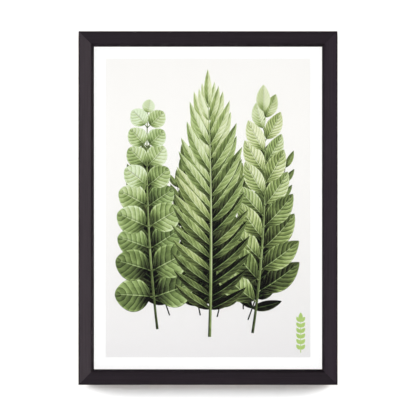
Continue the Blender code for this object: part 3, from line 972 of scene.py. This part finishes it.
# Metal: zinc plate on what turns, dark rolled strip on the hanger and corner fasteners
zinc = {
    "tones": [(0.0, (0.43, 0.43, 0.42)), (1.0, (0.52, 0.52, 0.51))],
    "tarnish": (0.52, 0.49, 0.40), "tarnishShare": 0.35,
    "worn": (0.80, 0.80, 0.79), "roughness": (0.26, 0.42), "spangle": 650.0,
}
strip = {
    "tones": [(0.3, (0.20, 0.205, 0.22)), (0.7, (0.36, 0.365, 0.38))],
    "worn": (0.58, 0.57, 0.55), "roughness": (0.34, 0.50),
}
rubber = {
    "black": (0.022, 0.022, 0.023), "bloom": (0.045, 0.045, 0.046),
    "dust": (0.22, 0.21, 0.20), "dustShare": 0.25, "roughness": (0.58, 0.78),
}


def makePlatedSteel():
    material, tree, shader, place = newMaterial("zincPlate", Metallic=1.0)
    cells = addNode(tree, "ShaderNodeTexVoronoi", {"Vector": place, "Scale": zinc["spangle"]})
    parts = addNode(tree, "ShaderNodeSeparateColor", {"Color": cells.outputs["Color"]}).outputs
    color = ramp(tree, parts[0], zinc["tones"])
    smear = remap(tree, noise(tree, place, 240.0, 4.0), 0.5, 0.8, 0.0, zinc["tarnishShare"])
    color = blendColor(tree, smear, color, zinc["tarnish"])
    normal = addNode(tree, "ShaderNodeTexCoord").outputs["Normal"]
    wear = useGroup(tree, edgeWear, Vector=place, Normal=normal, Scale=900.0)["Wear"]
    plug(tree, shader.inputs["Base Color"], blendColor(tree, wear, color, zinc["worn"]))
    plug(tree, shader.inputs["Roughness"], remap(tree, parts[0], 0.0, 1.0, *zinc["roughness"]))
    plug(tree, shader.inputs["Normal"], bump(tree, noise(tree, place, 1800.0), 0.10, 0.00003))
    return material


def makeRolledSteel():
    material, tree, shader, place = newMaterial("rolledSteel", Metallic=1.0)
    vector = stretched(tree, place, (0.03, 1, 1))
    grain = useGroup(tree, fineGrain, Vector=vector, Fineness=3000.0)["Streaks"]
    color = ramp(tree, grain, strip["tones"])
    normal = addNode(tree, "ShaderNodeTexCoord").outputs["Normal"]
    wear = useGroup(tree, edgeWear, Vector=place, Normal=normal, Scale=1200.0)["Wear"]
    plug(tree, shader.inputs["Base Color"], blendColor(tree, wear, color, strip["worn"]))
    plug(tree, shader.inputs["Roughness"], remap(tree, grain, *noiseSpan, *strip["roughness"]))
    plug(tree, shader.inputs["Normal"], bump(tree, grain, 0.15, 0.00003))
    return material


def makeRubber():
    material, tree, shader, place = newMaterial("bumperRubber", Specular_IOR_Level=0.35)
    dust = useGroup(tree, speckle, Vector=place, Scale=1600.0, Amount=0.75)["Flecks"]
    bloom = remap(tree, noise(tree, place, 420.0), *noiseSpan, 0.0, 0.35)
    color = blendColor(tree, bloom, rubber["black"], rubber["bloom"])
    dust = calc(tree, "MULTIPLY", dust, rubber["dustShare"])
    plug(tree, shader.inputs["Base Color"], blendColor(tree, dust, color, rubber["dust"]))
    plug(tree, shader.inputs["Roughness"], remap(tree, bloom, 0.0, 0.35, *rubber["roughness"]))
    plug(tree, shader.inputs["Normal"], bump(tree, noise(tree, place, 1500.0), 0.2, 0.00005))
    return material


hardware = {"stampedEdge": 0.00022, "stripEdge": 0.00012, "edgeSegments": 3, "sharpAngle": 50}
zincPlate, rolledSteel, bumperRubber = makePlatedSteel(), makeRolledSteel(), makeRubber()


# A CAD piece with its cut edges rolled over, as a press or a file leaves them.
def roundedCopy(node, name, body, slotName, material, edge, smoothAngle=35):
    work = copyOfNode(node)
    bmesh.ops.dissolve_limit(work, angle_limit=math.radians(1), verts=work.verts[:],
                             edges=work.edges[:])
    if edge:
        sharp = [e for e in work.edges
                 if len(e.link_faces) == 2
                 and e.calc_face_angle(0.0) > math.radians(hardware["sharpAngle"])]
        bmesh.ops.bevel(work, geom=sharp, offset=edge, offset_type="OFFSET",
                        segments=hardware["edgeSegments"], profile=0.5, affect="EDGES",
                        clamp_overlap=True, material=-1)
    piece = finishMesh(work, name, smoothAngle)
    dress(piece, body, slotName, material)
    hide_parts(node)


for number in range(1, buttonCount + 1):
    roundedCopy(f"turn_button_{number}", f"turnButton{number}", f"button_{number}",
                "zinc_plated_steel", zincPlate, hardware["stampedEdge"])
    roundedCopy(f"button_screw_{number}", f"buttonScrew{number}", "frame",
                "zinc_plated_steel", zincPlate, 0)
roundedCopy("sawtooth_hanger", "sawtoothHanger", "frame", "blued_steel", rolledSteel,
            hardware["stripEdge"])
for end in ("left", "right"):
    roundedCopy(f"hanger_nail_{end}", f"hangerNail{end.capitalize()}", "frame", "blued_steel",
                rolledSteel, 0)
    roundedCopy(f"bumper_{end}", f"bumper{end.capitalize()}", "frame", "bumper_rubber",
                bumperRubber, 0)
for number in range(1, fastenerCount + 1):
    node = frame["nodes"][f"corner_fastener_{number}"]
    node.data.materials.clear()
    node.data.materials.append(rolledSteel)
print("hardware made")


# Wall, floor, world, lights and camera
studio = {
    "wallHalf": 1.8, "floorHalf": 4.0, "wallTop": 3.0, "floorDrop": 1.5, "wallGap": 0.0004,
    "wallColor": (0.90, 0.90, 0.90), "wallGlow": 0.105,
    "floorColor": (0.79, 0.79, 0.79),
    "backdrop": 0.90, "ambient": 0.20, "mirrored": 0.02,
}


# White and one-sided: seen from behind, and by lamps, it isn't there.
def makeWallMaterial():
    material, tree, shader, _ = newMaterial("wallWhite", Roughness=0.9, Specular_IOR_Level=0.1)
    shader.inputs["Base Color"].default_value = (*studio["wallColor"], 1)
    shader.inputs["Emission Color"].default_value = (1, 1, 1, 1)
    shader.inputs["Emission Strength"].default_value = studio["wallGlow"]
    clear = addNode(tree, "ShaderNodeBsdfTransparent")
    behind = addNode(tree, "ShaderNodeNewGeometry").outputs["Backfacing"]
    shadow = addNode(tree, "ShaderNodeLightPath").outputs["Is Shadow Ray"]
    either = addNode(tree, "ShaderNodeMixShader")
    plug(tree, either.inputs[0], calc(tree, "MAXIMUM", behind, shadow))
    tree.links.new(shader.outputs[0], either.inputs[1])
    tree.links.new(clear.outputs[0], either.inputs[2])
    tree.links.new(either.outputs[0], tree.nodes["Material Output"].inputs["Surface"])
    return material


def makeStage(name, matrix, sizeX, sizeY, material):
    work = bmesh.new()
    bmesh.ops.create_grid(work, x_segments=1, y_segments=1, size=0.5)
    bmesh.ops.scale(work, vec=(sizeX, sizeY, 1), verts=work.verts)
    bmesh.ops.transform(work, matrix=matrix, verts=work.verts)
    piece = finishMesh(work, name)
    piece.data.materials.append(material)
    return piece


wallHeight = studio["wallTop"] + studio["floorDrop"]
wallMiddle = (0, wallY + studio["wallGap"], studio["wallTop"] - wallHeight / 2)
upright = Matrix.Rotation(math.pi / 2, 4, "X")
wall = makeStage("studioWall", Matrix.Translation(wallMiddle) @ upright,
                 2 * studio["wallHalf"], wallHeight, makeWallMaterial())
floorMaterial, floorTree, floorShader, floorPlace = newMaterial("floorPale", Roughness=0.7)
plug(floorTree, floorShader.inputs["Base Color"], blendColor(
    floorTree, remap(floorTree, noise(floorTree, floorPlace, 3.0), *noiseSpan, 0.0, 0.3),
    studio["floorColor"], [part * 0.96 for part in studio["floorColor"]]))
floor = makeStage("studioFloor", Matrix.Translation((0, 0, -studio["floorDrop"])),
                  2 * studio["floorHalf"], 2 * studio["floorHalf"], floorMaterial)

world = bpy.data.worlds.new("studio")
bpy.context.scene.world = world
world.use_nodes = True
worldTree = world.node_tree
# the room is dark where the glazing mirrors it
rayKinds = addNode(worldTree, "ShaderNodeLightPath").outputs
mirrored = calc(worldTree, "MULTIPLY", rayKinds["Is Singular Ray"], rayKinds["Is Reflection Ray"])
unseen = remap(worldTree, mirrored, 0.0, 1.0, studio["ambient"], studio["mirrored"])
background = worldTree.nodes["Background"]
background.inputs["Color"].default_value = (1.0, 1.0, 1.0, 1.0)
plug(worldTree, background.inputs["Strength"],
     remap(worldTree, rayKinds["Is Camera Ray"], 0.0, 1.0, unseen, studio["backdrop"]))

wallOnly = bpy.data.collections.new("wallOnly")
wallOnly.objects.link(wall)
paperOnly = bpy.data.collections.new("paperOnly")
objectOnly = bpy.data.collections.new("objectOnly")
noBlockers = bpy.data.collections.new("noBlockers")
noBlockers.objects.link(floor)
for piece in list(bpy.context.scene.objects):
    if piece.type != "MESH" or piece in (wall, floor, glazing):
        continue
    printed = piece.name.startswith("print")
    (paperOnly if printed else objectOnly).objects.link(piece)


frontMiddle = (centreX, frontY, centreZ)
backMiddle = (centreX, wallY, centreZ)
wallLamp = {"aside": 3.5, "away": 1.0, "above": 0.91, "size": (3.0, 1.38), "power": 753.0}
softboxes = {
    "paperFront": {"place": (centreX, frontY - 3.4, centreZ), "target": frontMiddle,
                   "size": (1.6, 1.6), "power": 121.0, "lights": paperOnly,
                   "shadedBy": noBlockers},
    "railLeft": {"place": (-2.4, frontY - 2.6, centreZ + 0.3), "target": frontMiddle,
                 "size": (1.2, 2.4), "power": 60.0, "lights": objectOnly},
    "railRight": {"place": (2.4, frontY - 2.6, centreZ - 0.3), "target": frontMiddle,
                  "size": (1.2, 2.4), "power": 8.0, "lights": objectOnly},
    "railTop": {"place": (0.0, frontY - 2.4, centreZ + 2.4), "target": frontMiddle,
                "size": (2.4, 1.0), "power": 8.0, "lights": objectOnly},
    "rearLeft": {"place": (-1.4, wallY + 1.7, centreZ + 0.9), "target": backMiddle,
                 "size": (1.2, 1.2), "power": 32.0, "lights": objectOnly},
    "rearRight": {"place": (1.6, wallY + 1.5, centreZ + 0.3), "target": backMiddle,
                  "size": (1.2, 1.2), "power": 16.0, "lights": objectOnly},
}


def addSoftbox(name, place, target, size, power, lights, shadedBy=None):
    lamp = bpy.data.lights.new(name, "AREA")
    lamp.shape = "RECTANGLE"
    lamp.size, lamp.size_y = size
    lamp.energy = power
    holder = bpy.data.objects.new(name, lamp)
    holder.location = place
    aim = Vector(target) - Vector(place)
    holder.rotation_euler = aim.to_track_quat("-Z", "Y").to_euler()
    holder.visible_camera = False
    bpy.context.scene.collection.objects.link(holder)
    holder.light_linking.receiver_collection = lights
    if shadedBy:
        holder.light_linking.blocker_collection = shadedBy


for way, side in ((-1, "Left"), (1, "Right")):
    across, height = centreX + way * wallLamp["aside"], frontLow.z + wallLamp["above"]
    addSoftbox(f"wall{side}", (across, wallY - wallLamp["away"], height), (across, wallY, height),
               wallLamp["size"], wallLamp["power"], wallOnly)
for name, values in softboxes.items():
    addSoftbox(name, **values)

shot = {"distance": 3.2, "pictureWidth": 0.5406, "sensor": 36.0}
lens = bpy.data.cameras.new("portrait")
lens.sensor_width = shot["sensor"]
lens.lens = shot["sensor"] * shot["distance"] / shot["pictureWidth"]
lens.clip_start = 0.05
camera = bpy.data.objects.new("portrait", lens)
camera.location = (centreX, frontY - shot["distance"], centreZ)
camera.rotation_euler = (math.pi / 2, 0, 0)
bpy.context.scene.collection.objects.link(camera)
bpy.context.scene.camera = camera
bpy.context.scene.view_settings.view_transform = "Standard"
print("studio made")
